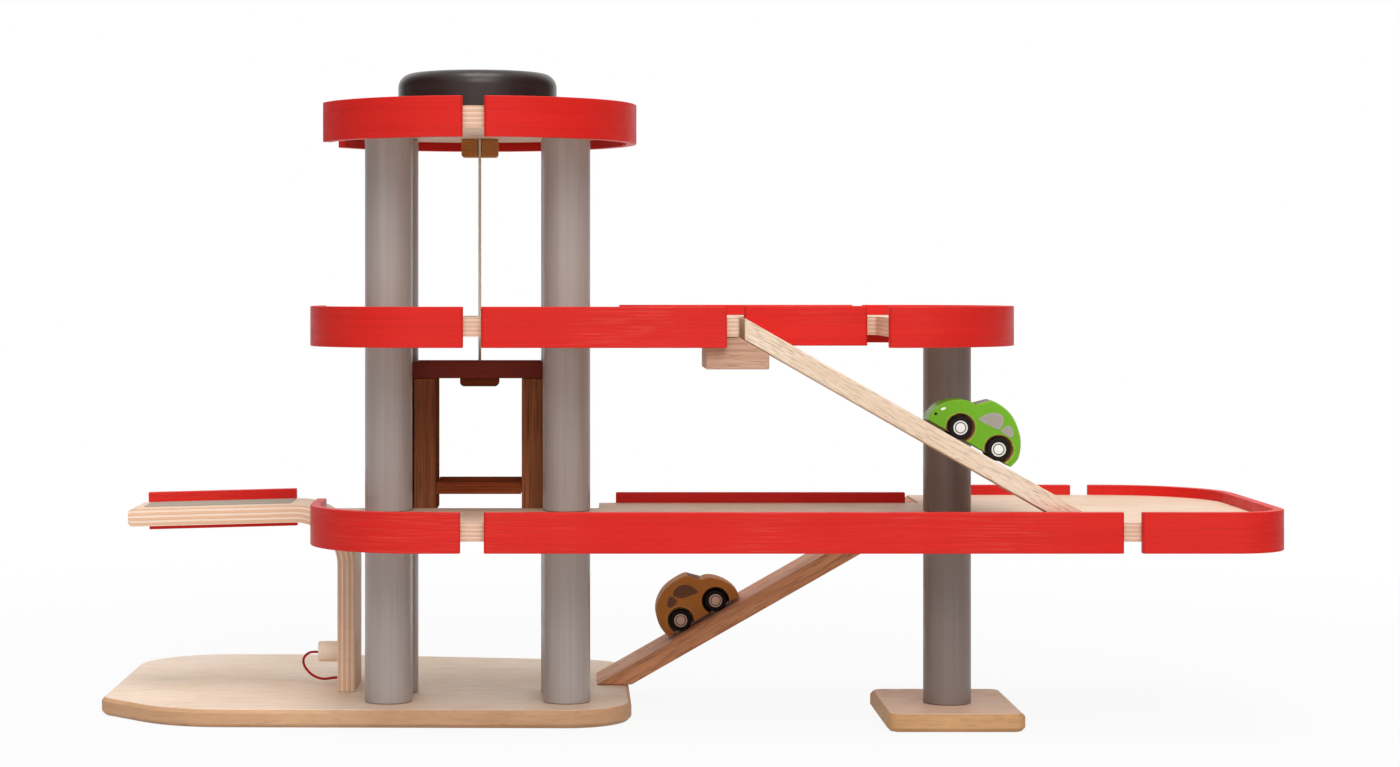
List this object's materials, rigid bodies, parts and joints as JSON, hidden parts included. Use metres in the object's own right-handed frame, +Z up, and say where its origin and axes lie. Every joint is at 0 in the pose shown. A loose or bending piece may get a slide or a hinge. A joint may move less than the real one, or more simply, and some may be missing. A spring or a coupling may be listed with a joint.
{
  "type": "toy parking garage with lift",
  "caption": "Wooden toy parking garage with round tower, knob-wound lift, ramps, railed decks, filling bay and toy cars",
  "frame": {"origin": "on the floor under the middle of the whole toy's bounding box", "axes": "+X along the garage from the tower to the railed far end, +Y from the front to the back, +Z up"},
  "size_m": [0.7732, 0.3548, 0.4325],
  "materials": {
    "beech": "clear satin lacquer over pale solid wood",
    "birch_ply": "clear satin lacquer over plywood",
    "red_paint": "bright red stain-like paint, satin, grain showing through",
    "grey_paint": "warm grey satin paint",
    "brown_wood": "dark brown stain",
    "maroon_paint": "dark maroon satin paint",
    "tan_wood": "tan stain",
    "black_paint": "black satin lacquer",
    "lift_cord": "twisted natural string",
    "hose_cord": "dark red cord",
    "axle_steel": "turned steel",
    "green_paint": "glossy green paint",
    "amber_paint": "glossy golden brown paint",
    "car_wheel": "black tyre with a pale hub"
  },
  "bodies": {
    "garage": {"base_board": "beech", "foot_plate": "beech", "left_column_lower": "grey_paint", "left_column_middle": "grey_paint", "left_column_upper": "grey_paint", "left_guide_column": "grey_paint", "right_column_lower": "grey_paint", "right_column_middle": "grey_paint", "right_column_upper": "grey_paint", "right_guide_column": "grey_paint", "end_column_lower": "grey_paint", "end_column_upper": "grey_paint", "lower_deck": "birch_ply", "lower_rail_left": "red_paint", "lower_rail_front": "red_paint", "lower_rail_front_corner": "red_paint", "lower_rail_back_corner": "red_paint", "lower_rail_lobe": "red_paint", "lower_rail_back": "red_paint", "middle_deck": "birch_ply", "middle_rail_left": "red_paint", "middle_rail_front": "red_paint", "middle_rail_notch": "red_paint", "middle_rail_front_end": "red_paint", "middle_rail_back_end": "red_paint", "middle_rail_back": "red_paint", "top_deck": "birch_ply", "top_rail_front_left": "red_paint", "top_rail_front_right": "red_paint", "top_rail_back": "red_paint", "upper_ramp": "beech", "lower_ramp": "beech", "upper_ramp_bracket": "beech", "lower_ramp_bracket": "beech", "canopy": "birch_ply", "canopy_rail": "red_paint", "pump_peg": "beech", "pump_hose": "hose_cord", "string_feed": "lift_cord", "string_guide": "tan_wood", "winding_axle": "axle_steel"},
    "winding": {"winding_knob": "black_paint"},
    "lift": {"lift_roof": "maroon_paint", "lift_floor": "brown_wood", "lift_wall_left": "brown_wood", "lift_wall_right": "brown_wood", "lift_shoe_left": "brown_wood", "lift_shoe_right": "brown_wood", "lift_string_tab": "brown_wood", "lift_string": "lift_cord"},
    "upper_car": {"upper_car_body": "green_paint"},
    "upper_car_front_wheels": {"upper_car_wheel_front_left": "car_wheel", "upper_car_wheel_front_right": "car_wheel"},
    "upper_car_rear_wheels": {"upper_car_wheel_rear_left": "car_wheel", "upper_car_wheel_rear_right": "car_wheel"},
    "lower_car": {"lower_car_body": "amber_paint"},
    "lower_car_front_wheels": {"lower_car_wheel_front_left": "car_wheel", "lower_car_wheel_front_right": "car_wheel"},
    "lower_car_rear_wheels": {"lower_car_wheel_rear_left": "car_wheel", "lower_car_wheel_rear_right": "car_wheel"}
  },
  "joints": [
    {"name": "knob_turn", "type": "hinge", "parent": "garage", "child": "winding", "pos_m": [-0.13215, -0.0716, 0.41], "axis": [0, 0, 1], "range_deg": [-337.5, 306]},
    {"name": "lift_slide", "type": "slide", "parent": "garage", "child": "lift", "axis": [0, 0, 1], "range_m": [-0.1238, 0.1122], "deforming": ["lift_string"]},
    {"name": "upper_car_roll", "type": "slide", "parent": "garage", "child": "upper_car", "axis": [0.8686, 0, -0.4955], "range_m": [-0.11, 0.06]},
    {"name": "upper_car_front_axle", "type": "hinge", "parent": "upper_car", "child": "upper_car_front_wheels", "pos_m": [0.17835, -0.1396, 0.19828], "axis": [0, 1, 0], "continuous": true},
    {"name": "upper_car_rear_axle", "type": "hinge", "parent": "upper_car", "child": "upper_car_rear_wheels", "pos_m": [0.20267, -0.1396, 0.18441], "axis": [0, 1, 0], "continuous": true},
    {"name": "lower_car_roll", "type": "slide", "parent": "garage", "child": "lower_car", "axis": [0.8686, 0, 0.4955], "range_m": [-0.06, 0.11]},
    {"name": "lower_car_front_axle", "type": "hinge", "parent": "lower_car", "child": "lower_car_front_wheels", "pos_m": [0.03105, 0.0367, 0.06878], "axis": [0, 1, 0], "continuous": true},
    {"name": "lower_car_rear_axle", "type": "hinge", "parent": "lower_car", "child": "lower_car_rear_wheels", "pos_m": [0.00673, 0.0367, 0.05491], "axis": [0, 1, 0], "continuous": true}
  ],
  "couplings": [
    {"joint": "lift_slide", "follows": "knob_turn", "m_per_rad": 0.021},
    {"joint": "upper_car_front_axle", "follows": "upper_car_roll", "rad_per_m": 133.33},
    {"joint": "upper_car_rear_axle", "follows": "upper_car_roll", "rad_per_m": 133.33},
    {"joint": "lower_car_front_axle", "follows": "lower_car_roll", "rad_per_m": 133.33},
    {"joint": "lower_car_rear_axle", "follows": "lower_car_roll", "rad_per_m": 133.33}
  ]
}
